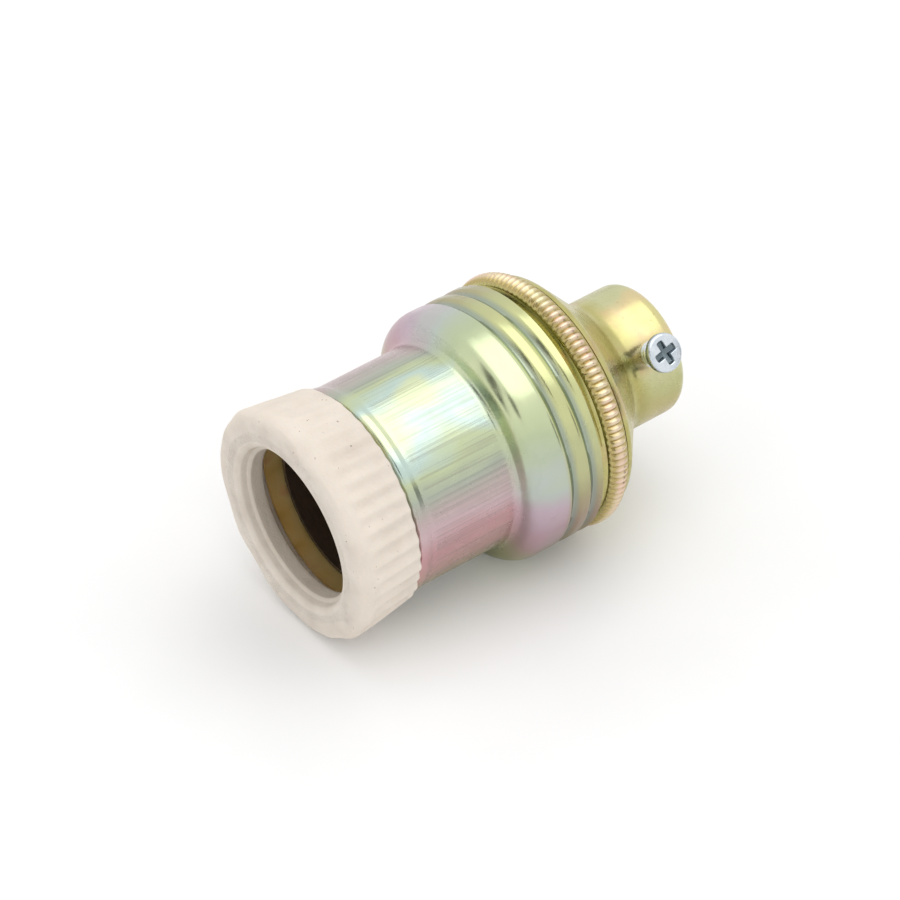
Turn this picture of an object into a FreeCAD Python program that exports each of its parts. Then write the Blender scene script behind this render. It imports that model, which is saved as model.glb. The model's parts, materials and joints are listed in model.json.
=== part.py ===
import FreeCAD, Part
import math
import os

from FreeCAD import Vector

# A small screw-type lamp holder: a porcelain ring and a drawn metal shell in front, a porcelain
# insert with the contacts inside, and a metal cap with a threaded neck behind.
# It stands on the ring. +Z runs along the axis, from the ring's face up to the neck.
# Lengths are in millimetres, angles in degrees.

# Lamp thread: a small Edison thread of 14 mm, the size that the rest is built round
LAMP_THREAD_ROOT_DIAMETER = 14.0
LAMP_THREAD_DEPTH = 0.8
LAMP_THREAD_PITCH = 2.822
LAMP_THREAD_GROOVE_RADIUS = 0.95
LAMP_THREAD_START = 10.6
LAMP_THREAD_END = 18.2

# Screw shell for the lamp
SCREW_SHELL_SHEET = 0.4
SCREW_SHELL_FRONT = 8.1
LEAD_IN_STEP = 0.35
LEAD_IN_LENGTH = 1.1
SHELL_TAB_WIDTH = 5.0
SHELL_TAB_MARGIN = 2.0

# Fibre tube round the screw shell
TUBE_SPACING = 0.8
TUBE_WALL = 0.5
TUBE_GAP = 0.3
TUBE_FRONT = 5.4
TUBE_SEAT_DEPTH = 2.0
TUBE_SEAT_GAP = 0.25

# Shell, drawn from one sheet
SHEET = 0.4
COLLAR_FRONT = 3.6
COLLAR_FILLET = 0.4
SLEEVE_STEP = 1.85
SLEEVE_REAR = 20.1
SLEEVE_ROUNDING = 0.9
SHOULDER_STEP = 2.65
SHOULDER_RISE = 0.95
SHOULDER_FILLET = 0.8
SHOULDER_ROUNDING = 2.2
SHELL_REAR = 28.9

# Porcelain ring, screwed on the collar
RING_HEIGHT = 7.9
RING_WALL = 3.15
RING_DRAFT = 0.85
RING_LIP = 2.85
RING_LIP_REACH = 1.25
RING_THREAD_CLEARANCE = 0.2
RING_SEAT_GAP = 0.1
RING_FRONT_ROUNDING = 1.1
RING_REAR_ROUNDING = 0.5
RING_MOUTH_CHAMFER = 0.9
RING_RIBS = 58
RIB_DEPTH = 0.22
RIB_FRONT = 2.2

# Rolled thread that joins the shell and the cap
THREAD_PITCH = 2.4
THREAD_GROOVE_RADIUS = 0.55
THREAD_DEPTH = 0.5
THREAD_START_HEIGHT = 24.0
THREAD_START_ANGLE = 135.0
THREAD_CLEARANCE = 0.15

# Cap with bead, dome and neck
CAP_WALL = 0.45
SKIRT_FRONT = 25.0
BEAD_STEP = 0.3
BEAD_HEIGHT = 2.6
BEAD_GAP = 1.05
DOME_RISE = 0.5
DOME_ROUNDING = 1.0
NECK_DIAMETER = 14.6
NECK_FRONT = 38.3
NECK_FILLET = 2.5
NECK_REAR_ROUNDING = 1.5
CAP_REAR = 45.6
ENTRY_DIAMETER = 8.92
ENTRY_CHAMFER = 0.5

# Fibre lining of the cap
LINER_THICKNESS = 0.5
LINER_GAP = 0.1
LINER_EDGE_GAP = 0.9
LINER_INNER_MARGIN = 1.14

# Set screw through the neck
SET_SCREW_HEIGHT = 41.8
SET_SCREW_ANGLE = -33.6
SET_SCREW_DIAMETER = 2.9
SET_SCREW_HEAD_DIAMETER = 4.1
SET_SCREW_HEAD_HEIGHT = 1.3
SET_SCREW_HEAD_GAP = 1.0
SET_SCREW_LENGTH = 3.7
SET_SCREW_EDGE = 0.25
RECESS_WIDTH = 0.75
RECESS_SPAN = 2.8
RECESS_DEPTH = 0.7

# Porcelain insert
INSERT_FRONT = 16.5
INSERT_CLEARANCE = 0.3
FLANGE_CLEARANCE = 0.25
BLOCK_CLEARANCE = 0.8
BLOCK_REAR = 28.6
SOCKET_CLEARANCE = 0.5
SOCKET_FLOOR = 21.4
POCKET_FLOOR = 26.0
POCKET_MARGIN = 0.3

# Rivets, terminal plates and terminal screws
FIT_GAP = 0.1
RIVET_INSET = 2.4
RIVET_DIAMETER = 1.8
RIVET_HEAD_DIAMETER = 2.8
RIVET_HEAD_HEIGHT = 0.6
PLATE_THICKNESS = 1.2
PLATE_WIDTH = 8.2
PLATE_LENGTH = 7.5
PLATE_START_X = -1.9
PLATE_LAP = 1.7
TERMINAL_X = 3.2
TERMINAL_INSET = 3.8
TERMINAL_SCREW_DIAMETER = 3.0
TERMINAL_HEAD_DIAMETER = 5.5
TERMINAL_HEAD_HEIGHT = 2.0
TERMINAL_SCREW_LENGTH = 4.5
TERMINAL_RELIEF = 0.4
SLOT_WIDTH = 0.7
SLOT_DEPTH = 0.9
WASHER_DIAMETER = 6.0
WASHER_THICKNESS = 0.8
SCREW_FIT = 0.05

# Centre contact, a bent spring strip
CONTACT_THICKNESS = 0.35
CONTACT_WIDTH = 3.2
CONTACT_SWING_GAP = 0.2
CONTACT_TAIL = 1.3
CONTACT_TIP_DROP = 1.6
CONTACT_TIP_OVERRUN = 1.4
CONTACT_BEND = 0.6

# Radii from the lamp thread outwards, each by the wall or the gap between them
lamp_root_radius = LAMP_THREAD_ROOT_DIAMETER / 2
lamp_crest_radius = lamp_root_radius - LAMP_THREAD_DEPTH
screw_shell_radius = lamp_root_radius + SCREW_SHELL_SHEET
socket_radius = screw_shell_radius + SOCKET_CLEARANCE
tube_inner_radius = screw_shell_radius + TUBE_SPACING
tube_radius = tube_inner_radius + TUBE_WALL
collar_radius = tube_radius + TUBE_GAP + SHEET
sleeve_radius = collar_radius + SLEEVE_STEP
shell_radius = sleeve_radius + SHOULDER_STEP
shell_inner_radius = shell_radius - SHEET
ring_bore_radius = collar_radius - RING_LIP_REACH
ring_thread_radius = collar_radius + RING_THREAD_CLEARANCE
ring_radius = ring_thread_radius + RING_WALL
skirt_radius = shell_inner_radius - THREAD_CLEARANCE
bead_radius = shell_radius + BEAD_STEP
block_radius = skirt_radius - THREAD_DEPTH - CAP_WALL - BLOCK_CLEARANCE
neck_radius = NECK_DIAMETER / 2
entry_radius = ENTRY_DIAMETER / 2

# Levels and places that follow from the sizes above
shoulder_level = RING_HEIGHT + RING_SEAT_GAP
flange_rear = THREAD_START_HEIGHT - THREAD_GROOVE_RADIUS - SHEET - FLANGE_CLEARANCE
bead_front = SHELL_REAR + BEAD_GAP
bead_middle = bead_front + BEAD_HEIGHT / 2
dome_level = bead_front + BEAD_HEIGHT + DOME_RISE
rivet_offset = lamp_root_radius - RIVET_INSET
plate_start_y = rivet_offset - PLATE_LAP
terminal_y = block_radius - TERMINAL_INSET
plate_top = POCKET_FLOOR + PLATE_THICKNESS
washer_base = plate_top + SCREW_FIT
head_base = washer_base + WASHER_THICKNESS + SCREW_FIT
contact_rear = SOCKET_FLOOR - CONTACT_SWING_GAP
contact_front = contact_rear - CONTACT_THICKNESS


def cylinder(radius, low, high, x=0.0, y=0.0):
    """An upright cylinder between two levels."""
    return Part.makeCylinder(radius, high - low, Vector(x, y, low))


def box(x_low, y_low, z_low, x_high, y_high, z_high):
    """A box between two corners."""
    size = (x_high - x_low, y_high - y_low, z_high - z_low)
    return Part.makeBox(*size, Vector(x_low, y_low, z_low))


def along(start, end):
    """The direction from one (across, up, rounding) corner to the next."""
    return Vector(end[0] - start[0], 0, end[1] - start[1]).normalize()


def rounded_edges(corners):
    """Lines through (across, up, rounding) corners, with a tangent arc at each rounded one."""
    edges = []
    last = Vector(corners[0][0], 0, corners[0][1])
    for before, corner, after in zip(corners, corners[1:], corners[2:]):
        point = Vector(corner[0], 0, corner[1])
        rounding = corner[2]
        if rounding <= 0:
            edges.append(Part.makeLine(last, point))
            last = point
            continue
        coming = along(before, corner)
        going = along(corner, after)
        half_turn = coming.getAngle(going) / 2
        tangent = rounding * math.tan(half_turn)
        inward = (going - coming).normalize()
        start = point - coming * tangent
        middle = point + inward * (rounding / math.cos(half_turn) - rounding)
        end = point + going * tangent
        if (start - last).Length > 1e-6:
            edges.append(Part.makeLine(last, start))
        edges.append(Part.Arc(start, middle, end).toShape())
        last = end
    edges.append(Part.makeLine(last, Vector(corners[-1][0], 0, corners[-1][1])))
    return edges


def inset(corners, distance):
    """The same path moved to its left by a distance, with its roundings kept concentric."""
    moved = []
    for place, corner in enumerate(corners):
        coming = along(corners[max(place - 1, 0)], corners[max(place, 1)])
        going = along(corners[min(place, len(corners) - 2)], corners[min(place + 1, len(corners) - 1)])
        left = Vector(-coming.z - going.z, 0, coming.x + going.x).normalize()
        reach = distance / math.cos(coming.getAngle(going) / 2)
        turns_left = coming.x * going.z - coming.z * going.x > 0
        rounding = corner[2]
        if rounding > 0:
            rounding = max(rounding - distance, 0.05) if turns_left else rounding + distance
        moved.append((corner[0] + left.x * reach, corner[1] + left.z * reach, rounding))
    return moved


def turned(corners):
    """The solid of revolution under a rounded path, closed on the axis."""
    first = Vector(corners[0][0], 0, corners[0][1])
    last = Vector(corners[-1][0], 0, corners[-1][1])
    edges = rounded_edges(corners)
    closing = [last, Vector(0, 0, last.z), Vector(0, 0, first.z), first]
    for start, end in zip(closing, closing[1:]):
        if (end - start).Length > 1e-6:
            edges.append(Part.makeLine(start, end))
    face = Part.Face(Part.Wire(edges))
    return face.revolve(Vector(0, 0, 0), Vector(0, 0, 1), 360)


def lengthened(corners, front, rear):
    """The same path with its two straight ends moved along the axis."""
    first = (corners[0][0], corners[0][1] - front, 0)
    last = (corners[-1][0], corners[-1][1] + rear, 0)
    return [first] + corners[1:-1] + [last]


def helical_rod(radius, growth, centre_radius, pitch, low, high, angle):
    """A round rod on a right-hand helix, grown all round and past its end, with a ball at its start."""
    end_growth = growth * pitch / (2 * math.pi * centre_radius)
    rod_radius = radius + growth
    path = Part.makeHelix(pitch, high - low + end_growth, centre_radius)
    ring = Part.makeCircle(rod_radius, Vector(centre_radius, 0, 0), Vector(0, 1, 0))
    rod = Part.Wire(path).makePipeShell([Part.Wire(ring)], True, True)
    ball = Part.makeSphere(rod_radius, Vector(centre_radius, 0, 0))
    pieces = [rod, ball]
    for piece in pieces:
        piece.rotate(Vector(0, 0, 0), Vector(0, 0, 1), angle)
        piece.translate(Vector(0, 0, low))
    return pieces


def joint_thread(growth, high):
    """The rolled thread between shell and cap, as a rod grown all round by a distance."""
    centre_radius = shell_radius - THREAD_DEPTH + THREAD_GROOVE_RADIUS
    return helical_rod(
        THREAD_GROOVE_RADIUS,
        growth,
        centre_radius,
        THREAD_PITCH,
        THREAD_START_HEIGHT,
        high,
        THREAD_START_ANGLE,
    )


def shell_path():
    """The shell's outer surface from the collar's front edge to the open rear rim."""
    return [
        (collar_radius, COLLAR_FRONT, 0),
        (collar_radius, shoulder_level, COLLAR_FILLET),
        (sleeve_radius, shoulder_level, SLEEVE_ROUNDING),
        (sleeve_radius, SLEEVE_REAR, SHOULDER_FILLET),
        (shell_radius, SLEEVE_REAR + SHOULDER_RISE, SHOULDER_ROUNDING),
        (shell_radius, SHELL_REAR, 0),
    ]


def ring_side(level):
    """The radius of the ring's tapered side at a level."""
    return ring_radius - RING_DRAFT * level / RING_HEIGHT


def make_ring():
    """The porcelain ring: tapered, ribbed for the fingers, with a lip that covers the collar."""
    body = turned([
        (ring_bore_radius, 0, 0),
        (ring_side(0), 0, RING_FRONT_ROUNDING),
        (ring_side(RING_HEIGHT), RING_HEIGHT, RING_REAR_ROUNDING),
        (ring_bore_radius, RING_HEIGHT, 0),
    ])
    mouth = Part.makeCone(
        ring_bore_radius + RING_MOUTH_CHAMFER, ring_bore_radius, RING_MOUTH_CHAMFER, Vector(0, 0, 0)
    )
    bore = cylinder(ring_bore_radius, -1, RING_HEIGHT + 1)
    thread_bore = cylinder(ring_thread_radius, RING_LIP, RING_HEIGHT + 1)
    ring = body.cut(bore).cut(mouth).cut(thread_bore)
    return ring.cut(ring_flutes())


def ring_flutes():
    """Shallow tapered flutes between the ring's ribs, run out towards the front edge."""
    half_pitch = math.pi * ring_radius / RING_RIBS
    flute_radius = (half_pitch ** 2 + RIB_DEPTH ** 2) / (2 * RIB_DEPTH)
    front = Vector(ring_side(RIB_FRONT) + flute_radius, 0, RIB_FRONT)
    rear = Vector(ring_side(RING_HEIGHT) - RIB_DEPTH + flute_radius, 0, RING_HEIGHT + 0.1)
    flute = Part.makeCylinder(flute_radius, (rear - front).Length, front, rear - front)
    flutes = []
    for place in range(RING_RIBS):
        copy = flute.copy()
        copy.rotate(Vector(0, 0, 0), Vector(0, 0, 1), 360 * place / RING_RIBS)
        flutes.append(copy)
    return Part.Compound(flutes)


def make_shell():
    """The drawn shell: collar, sleeve, shoulder and rolled thread, one sheet thick throughout.
    It is rolled on a longer tube, which is then trimmed to the rear rim."""
    thread_end = SHELL_REAR + THREAD_PITCH
    spare = 2 * THREAD_PITCH
    outside = turned(lengthened(shell_path(), 0, spare))
    inside = turned(lengthened(inset(shell_path(), SHEET), 1, spare + 1))
    for piece in joint_thread(0, thread_end):
        outside = outside.cut(piece)
    for piece in joint_thread(SHEET, thread_end):
        inside = inside.cut(piece)
    waste = cylinder(2 * shell_radius, SHELL_REAR, SHELL_REAR + 2 * spare)
    return outside.cut(inside).cut(waste)


def cap_path():
    """The cap's outer surface from the skirt's front edge to the neck's open end."""
    return [
        (skirt_radius, SKIRT_FRONT, 0),
        (skirt_radius, dome_level, DOME_ROUNDING),
        (neck_radius, NECK_FRONT, NECK_FILLET),
        (neck_radius, CAP_REAR, NECK_REAR_ROUNDING),
        (0, CAP_REAR, 0),
    ]


def dome_level_at(radius, depth):
    """The level of the dome's slope at a radius, at a depth under its outer surface."""
    run = skirt_radius - neck_radius
    rise = NECK_FRONT - dome_level
    slope = rise / run
    return dome_level + (skirt_radius - radius) * slope - depth * math.hypot(1, slope)


def make_cap():
    """The cap: a skirt with the male thread, a bead, a dome and a thick threaded neck."""
    spare = 2 * THREAD_PITCH
    outside = turned(lengthened(cap_path(), spare, 0))
    for piece in joint_thread(SHEET + THREAD_CLEARANCE, bead_middle):
        outside = outside.cut(piece)
    roll_radius = BEAD_HEIGHT / 2
    bead = Part.makeTorus(bead_radius - roll_radius, roll_radius, Vector(0, 0, bead_middle))
    slope_end = entry_radius - 1
    inner_path = inset(
        [
            (skirt_radius, SKIRT_FRONT - spare - 1, 0),
            (skirt_radius, dome_level, DOME_ROUNDING),
            (slope_end, dome_level_at(slope_end, 0), 0),
        ],
        CAP_WALL,
    )
    inside = turned(inner_path)
    for piece in joint_thread(SHEET + THREAD_CLEARANCE + CAP_WALL, bead_middle):
        inside = inside.cut(piece)
    waste = cylinder(2 * shell_radius, SKIRT_FRONT - 2 * spare, SKIRT_FRONT)
    cap = outside.fuse(bead).cut(inside).cut(waste)
    cap = cap.cut(cylinder(entry_radius, NECK_FRONT, CAP_REAR + 1))
    entry = Part.makeCone(
        entry_radius,
        entry_radius + ENTRY_CHAMFER,
        ENTRY_CHAMFER,
        Vector(0, 0, CAP_REAR - ENTRY_CHAMFER),
    )
    return cap.cut(entry).cut(radial(screw_hole()))


def make_cap_liner():
    """The fibre cone that lines the dome and keeps the terminals clear of the metal."""
    outer = skirt_radius - CAP_WALL - LINER_EDGE_GAP
    inner = entry_radius + LINER_INNER_MARGIN
    near = CAP_WALL + LINER_GAP
    far = near + LINER_THICKNESS
    corners = [
        Vector(outer, 0, dome_level_at(outer, near)),
        Vector(outer, 0, dome_level_at(outer, far)),
        Vector(inner, 0, dome_level_at(inner, far)),
        Vector(inner, 0, dome_level_at(inner, near)),
    ]
    face = Part.Face(Part.makePolygon(corners + corners[:1]))
    return face.revolve(Vector(0, 0, 0), Vector(0, 0, 1), 360)


def radial(shape):
    """Turns a shape made along +X at level 0 to the set screw's place on the neck."""
    shape.rotate(Vector(0, 0, 0), Vector(0, 0, 1), SET_SCREW_ANGLE)
    shape.translate(Vector(0, 0, SET_SCREW_HEIGHT))
    return shape


def screw_hole():
    """The set screw's hole through one wall of the neck."""
    radius = SET_SCREW_DIAMETER / 2 + SCREW_FIT
    return Part.makeCylinder(radius, neck_radius + 1, Vector(0, 0, 0), Vector(1, 0, 0))


def make_set_screw():
    """The set screw, backed out, with a cross recess in a cylindrical head."""
    head_start = neck_radius + SET_SCREW_HEAD_GAP
    head_end = head_start + SET_SCREW_HEAD_HEIGHT
    outward = Vector(1, 0, 0)
    shank = Part.makeCylinder(
        SET_SCREW_DIAMETER / 2,
        SET_SCREW_LENGTH + 0.1,
        Vector(head_start - SET_SCREW_LENGTH, 0, 0),
        outward,
    )
    head = Part.makeCylinder(
        SET_SCREW_HEAD_DIAMETER / 2, SET_SCREW_HEAD_HEIGHT, Vector(head_start, 0, 0), outward
    )
    head = head.makeChamfer(SET_SCREW_EDGE, [head.Edges[0]])
    screw = head.fuse(shank)
    half_width = RECESS_WIDTH / 2
    half_span = RECESS_SPAN / 2
    floor = head_end - RECESS_DEPTH
    screw = screw.cut(box(floor, -half_width, -half_span, head_end + 1, half_width, half_span))
    screw = screw.cut(box(floor, -half_span, -half_width, head_end + 1, half_span, half_width))
    return radial(screw)


def make_insert():
    """The porcelain insert: a boss in the sleeve, a flange on the shoulder and a rear block."""
    room = inset(shell_path(), SHEET + INSERT_CLEARANCE)[3:]
    outer_path = [(room[0][0], INSERT_FRONT, 0)] + room
    outer_path[-1] = (outer_path[-1][0], flange_rear, 0)
    body = turned(outer_path)
    body = body.fuse(cylinder(block_radius, SOCKET_FLOOR, BLOCK_REAR)).removeSplitter()
    body = body.cut(cylinder(socket_radius, INSERT_FRONT - 1, SOCKET_FLOOR))
    seat_radius = tube_radius + TUBE_SEAT_GAP
    body = body.cut(cylinder(seat_radius, INSERT_FRONT - 1, INSERT_FRONT + TUBE_SEAT_DEPTH))
    for side in (0, 180):
        pocket = box(
            PLATE_START_X - POCKET_MARGIN,
            plate_start_y - POCKET_MARGIN,
            POCKET_FLOOR,
            PLATE_START_X + PLATE_WIDTH + POCKET_MARGIN,
            2 * block_radius,
            BLOCK_REAR + 1,
        )
        relief_radius = TERMINAL_SCREW_DIAMETER / 2 + TERMINAL_RELIEF
        relief_floor = head_base - TERMINAL_SCREW_LENGTH - TERMINAL_RELIEF
        relief = cylinder(relief_radius, relief_floor, POCKET_FLOOR + 1, TERMINAL_X, terminal_y)
        rivet_hole = cylinder(
            RIVET_DIAMETER / 2 + FIT_GAP, SOCKET_FLOOR - 1, POCKET_FLOOR + 1, 0, rivet_offset
        )
        for cut in (pocket, relief, rivet_hole):
            cut.rotate(Vector(0, 0, 0), Vector(0, 0, 1), side)
            body = body.cut(cut)
    return body


def make_insulating_tube():
    """The fibre tube between the screw shell and the collar, seated in the insert's front."""
    rear = INSERT_FRONT + TUBE_SEAT_DEPTH - FIT_GAP
    return cylinder(tube_radius, TUBE_FRONT, rear).cut(cylinder(tube_inner_radius, TUBE_FRONT - 1, rear + 1))


def make_screw_shell():
    """The screw shell: a plain lead-in, the rolled lamp thread and a tab riveted to the insert."""
    lead_in_end = SCREW_SHELL_FRONT + LEAD_IN_LENGTH
    outside = cylinder(screw_shell_radius, SCREW_SHELL_FRONT, SOCKET_FLOOR)
    outside = outside.fuse(
        cylinder(screw_shell_radius + LEAD_IN_STEP, SCREW_SHELL_FRONT, lead_in_end + LEAD_IN_STEP)
    )
    inside = cylinder(lamp_root_radius, SCREW_SHELL_FRONT - 1, SOCKET_FLOOR + 1)
    inside = inside.fuse(
        cylinder(lamp_root_radius + LEAD_IN_STEP, SCREW_SHELL_FRONT - 1, lead_in_end)
    )
    centre_radius = lamp_crest_radius + SCREW_SHELL_SHEET + LAMP_THREAD_GROOVE_RADIUS
    thread = (centre_radius, LAMP_THREAD_PITCH, LAMP_THREAD_START, LAMP_THREAD_END, 0)
    for piece in helical_rod(LAMP_THREAD_GROOVE_RADIUS, 0, *thread):
        outside = outside.cut(piece)
    for piece in helical_rod(LAMP_THREAD_GROOVE_RADIUS, SCREW_SHELL_SHEET, *thread):
        inside = inside.cut(piece)
    shell = outside.cut(inside)
    half_width = SHELL_TAB_WIDTH / 2
    tab = box(
        -half_width, -lamp_root_radius - SCREW_SHELL_SHEET / 2, SOCKET_FLOOR - SCREW_SHELL_SHEET,
        half_width, -rivet_offset + SHELL_TAB_MARGIN, SOCKET_FLOOR,
    )
    tab = tab.common(cylinder(screw_shell_radius, SCREW_SHELL_FRONT, SOCKET_FLOOR))
    hole = cylinder(RIVET_DIAMETER / 2, SOCKET_FLOOR - 1, SOCKET_FLOOR + 1, 0, -rivet_offset)
    return shell.fuse(tab).cut(hole).removeSplitter()


def make_centre_contact():
    """The centre contact, a spring strip bent towards the lamp, held under the live rivet."""
    tail = rivet_offset + CONTACT_TAIL
    bend = rivet_offset - CONTACT_TAIL
    tip_level = contact_rear - CONTACT_TIP_DROP
    path = [
        (tail, contact_rear, 0),
        (bend, contact_rear, CONTACT_BEND),
        (CONTACT_BEND, tip_level, CONTACT_BEND),
        (-CONTACT_BEND, tip_level, CONTACT_BEND),
        (-CONTACT_TIP_OVERRUN, tip_level + CONTACT_TIP_OVERRUN / 2, 0),
    ]
    other_side = inset(path, CONTACT_THICKNESS)
    edges = rounded_edges(path)
    back_edges = rounded_edges(other_side)
    start_cap = Part.makeLine(Vector(path[0][0], 0, path[0][1]),
                              Vector(other_side[0][0], 0, other_side[0][1]))
    end_cap = Part.makeLine(Vector(path[-1][0], 0, path[-1][1]),
                            Vector(other_side[-1][0], 0, other_side[-1][1]))
    wire = Part.Wire(Part.__sortEdges__(edges + [end_cap] + back_edges + [start_cap]))
    strip = Part.Face(wire).extrude(Vector(0, CONTACT_WIDTH, 0))
    strip.translate(Vector(0, -CONTACT_WIDTH / 2, 0))
    strip.rotate(Vector(0, 0, 0), Vector(0, 0, 1), 90)
    hole_radius = RIVET_DIAMETER / 2 + CONTACT_SWING_GAP
    return strip.cut(cylinder(hole_radius, contact_front - 1, contact_rear + 1, 0, rivet_offset))


def make_rivet(clamped_level):
    """A rivet through insert and terminal plate, with its front head under a clamped level."""
    head_radius = RIVET_HEAD_DIAMETER / 2
    shank = cylinder(RIVET_DIAMETER / 2, clamped_level - 0.1, plate_top + 0.1, 0, rivet_offset)
    front = cylinder(head_radius, clamped_level - RIVET_HEAD_HEIGHT, clamped_level, 0, rivet_offset)
    rear = cylinder(head_radius, plate_top, plate_top + RIVET_HEAD_HEIGHT, 0, rivet_offset)
    return shank.fuse(front).fuse(rear)


def make_plate():
    """The brass terminal plate that lies in a pocket of the insert, tapped for its screw."""
    plate = box(
        PLATE_START_X, plate_start_y, POCKET_FLOOR,
        PLATE_START_X + PLATE_WIDTH, plate_start_y + PLATE_LENGTH, plate_top,
    )
    plate = plate.common(cylinder(block_radius - POCKET_MARGIN, POCKET_FLOOR, plate_top))
    screw_radius = TERMINAL_SCREW_DIAMETER / 2 + SCREW_FIT
    plate = plate.cut(cylinder(screw_radius, POCKET_FLOOR - 1, plate_top + 1, TERMINAL_X, terminal_y))
    return plate.cut(cylinder(RIVET_DIAMETER / 2, POCKET_FLOOR - 1, plate_top + 1, 0, rivet_offset))


def make_terminal_screw():
    """The slotted terminal screw, tightened on its washer."""
    tip = head_base - TERMINAL_SCREW_LENGTH
    shank = cylinder(TERMINAL_SCREW_DIAMETER / 2, tip, head_base + 0.1, TERMINAL_X, terminal_y)
    head_top = head_base + TERMINAL_HEAD_HEIGHT
    head = cylinder(TERMINAL_HEAD_DIAMETER / 2, head_base, head_top, TERMINAL_X, terminal_y)
    slot = box(
        TERMINAL_X - TERMINAL_HEAD_DIAMETER, terminal_y - SLOT_WIDTH / 2, head_top - SLOT_DEPTH,
        TERMINAL_X + TERMINAL_HEAD_DIAMETER, terminal_y + SLOT_WIDTH / 2, head_top + 1,
    )
    return shank.fuse(head).cut(slot)


def make_washer():
    """The clamping washer under a terminal screw's head."""
    top = washer_base + WASHER_THICKNESS
    disc = cylinder(WASHER_DIAMETER / 2, washer_base, top, TERMINAL_X, terminal_y)
    hole_radius = TERMINAL_SCREW_DIAMETER / 2 + FIT_GAP
    return disc.cut(cylinder(hole_radius, washer_base - 1, top + 1, TERMINAL_X, terminal_y))


def half_turned(shape):
    """The same shape on the opposite side of the axis."""
    shape.rotate(Vector(0, 0, 0), Vector(0, 0, 1), 180)
    return shape


pieces = {
    "porcelain_ring": make_ring(),
    "shell": make_shell(),
    "cap": make_cap(),
    "cap_liner": make_cap_liner(),
    "set_screw": make_set_screw(),
    "porcelain_insert": make_insert(),
    "insulating_tube": make_insulating_tube(),
    "screw_shell": make_screw_shell(),
    "centre_contact": make_centre_contact(),
    "live_rivet": make_rivet(contact_front - CONTACT_SWING_GAP),
    "neutral_rivet": half_turned(make_rivet(SOCKET_FLOOR - SCREW_SHELL_SHEET)),
    "live_plate": make_plate(),
    "neutral_plate": half_turned(make_plate()),
    "live_screw": make_terminal_screw(),
    "neutral_screw": half_turned(make_terminal_screw()),
    "live_washer": make_washer(),
    "neutral_washer": half_turned(make_washer()),
}

for name, shape in pieces.items():
    solids = shape.Solids
    shape = solids[0] if len(solids) == 1 else shape
    print(f"{name}: solids {len(solids)}, valid {shape.isValid()}, volume {shape.Volume:.1f} mm3")
    shape.exportStep(f"parts/{name}.step")
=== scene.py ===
# %% [markdown]
# A small lamp holder: a porcelain ring, a drawn shell and a knurled cap of yellow-passivated steel,
# and a bright set screw in the neck. The solids come from the frame, in metres, and stand on the
# ring's face with +Z along the axis. The cells below make the finer shapes and the finishes, and
# dress the solids where they stand. Shapes are worked out in millimetres.

# %% Load the frame
import json
import math

import bpy
import numpy as np
from mathutils import Matrix, Vector


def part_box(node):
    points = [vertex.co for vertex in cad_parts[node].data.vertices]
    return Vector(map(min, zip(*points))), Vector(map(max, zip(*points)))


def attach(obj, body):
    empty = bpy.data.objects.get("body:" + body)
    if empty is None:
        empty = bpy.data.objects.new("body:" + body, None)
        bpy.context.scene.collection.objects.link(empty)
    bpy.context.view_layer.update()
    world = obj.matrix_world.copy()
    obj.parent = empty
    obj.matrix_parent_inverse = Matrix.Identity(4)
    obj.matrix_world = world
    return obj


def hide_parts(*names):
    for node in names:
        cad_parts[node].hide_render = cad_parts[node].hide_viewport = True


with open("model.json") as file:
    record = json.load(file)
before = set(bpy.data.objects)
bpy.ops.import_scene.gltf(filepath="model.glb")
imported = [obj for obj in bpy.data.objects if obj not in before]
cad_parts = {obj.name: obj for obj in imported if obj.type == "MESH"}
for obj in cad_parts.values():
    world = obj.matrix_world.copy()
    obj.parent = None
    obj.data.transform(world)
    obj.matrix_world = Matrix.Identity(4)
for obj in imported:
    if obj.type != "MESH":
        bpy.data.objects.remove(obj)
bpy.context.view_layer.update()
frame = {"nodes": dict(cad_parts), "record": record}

MM = 0.001


# %% [markdown]
# In the photograph the holder lies on its side. Here it stands, so the camera turns instead of the
# holder, and looks up at the ring from one side. It could be placed by eye, but then every size in
# the picture would be a little off. Its place is worked out from the direction to the eye, the
# distance, and the point of the picture where the middle of the ring's face shows, so that no lens
# shift is needed.

# %% Camera
PICTURE = 900
RING_FACE_PIXEL = (287.7, 529.3)
EYE_DISTANCE = 0.3497
FOCAL_PIXELS = 3535.0
SENSOR = 36.0
to_eye = Vector((0.639, -0.632, -0.438)).normalized()
screen_up = Vector((-0.480, -0.773, 0.415))
screen_right = screen_up.cross(to_eye).normalized()
screen_up = to_eye.cross(screen_right).normalized()

across = (RING_FACE_PIXEL[0] - PICTURE / 2) / FOCAL_PIXELS * EYE_DISTANCE
down = (RING_FACE_PIXEL[1] - PICTURE / 2) / FOCAL_PIXELS * EYE_DISTANCE
eye = to_eye * EYE_DISTANCE - screen_right * across + screen_up * down

lens = bpy.data.cameras.new("lens")
lens.lens = FOCAL_PIXELS * SENSOR / PICTURE
lens.sensor_width = SENSOR
lens.clip_start = 0.01
lens.clip_end = 20.0
camera = bpy.data.objects.new("camera", lens)
turn = Matrix((screen_right, screen_up, to_eye)).transposed()
camera.matrix_world = Matrix.Translation(eye) @ turn.to_4x4()
bpy.context.scene.collection.objects.link(camera)
bpy.context.scene.camera = camera
print("eye in mm:", [round(v / MM, 1) for v in eye], "lens:", round(lens.lens, 1))


# %% [markdown]
# Colours are written as the sRGB hex values that a painter would pick, and one function turns them
# to the linear values that a shader wants. Materials could be wired node by node, but the lines
# would hide the idea. One function adds a node with its inputs, its settings and, for a ramp, its
# stops, and gives back its output, so that each line below says what one node is for.

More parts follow.
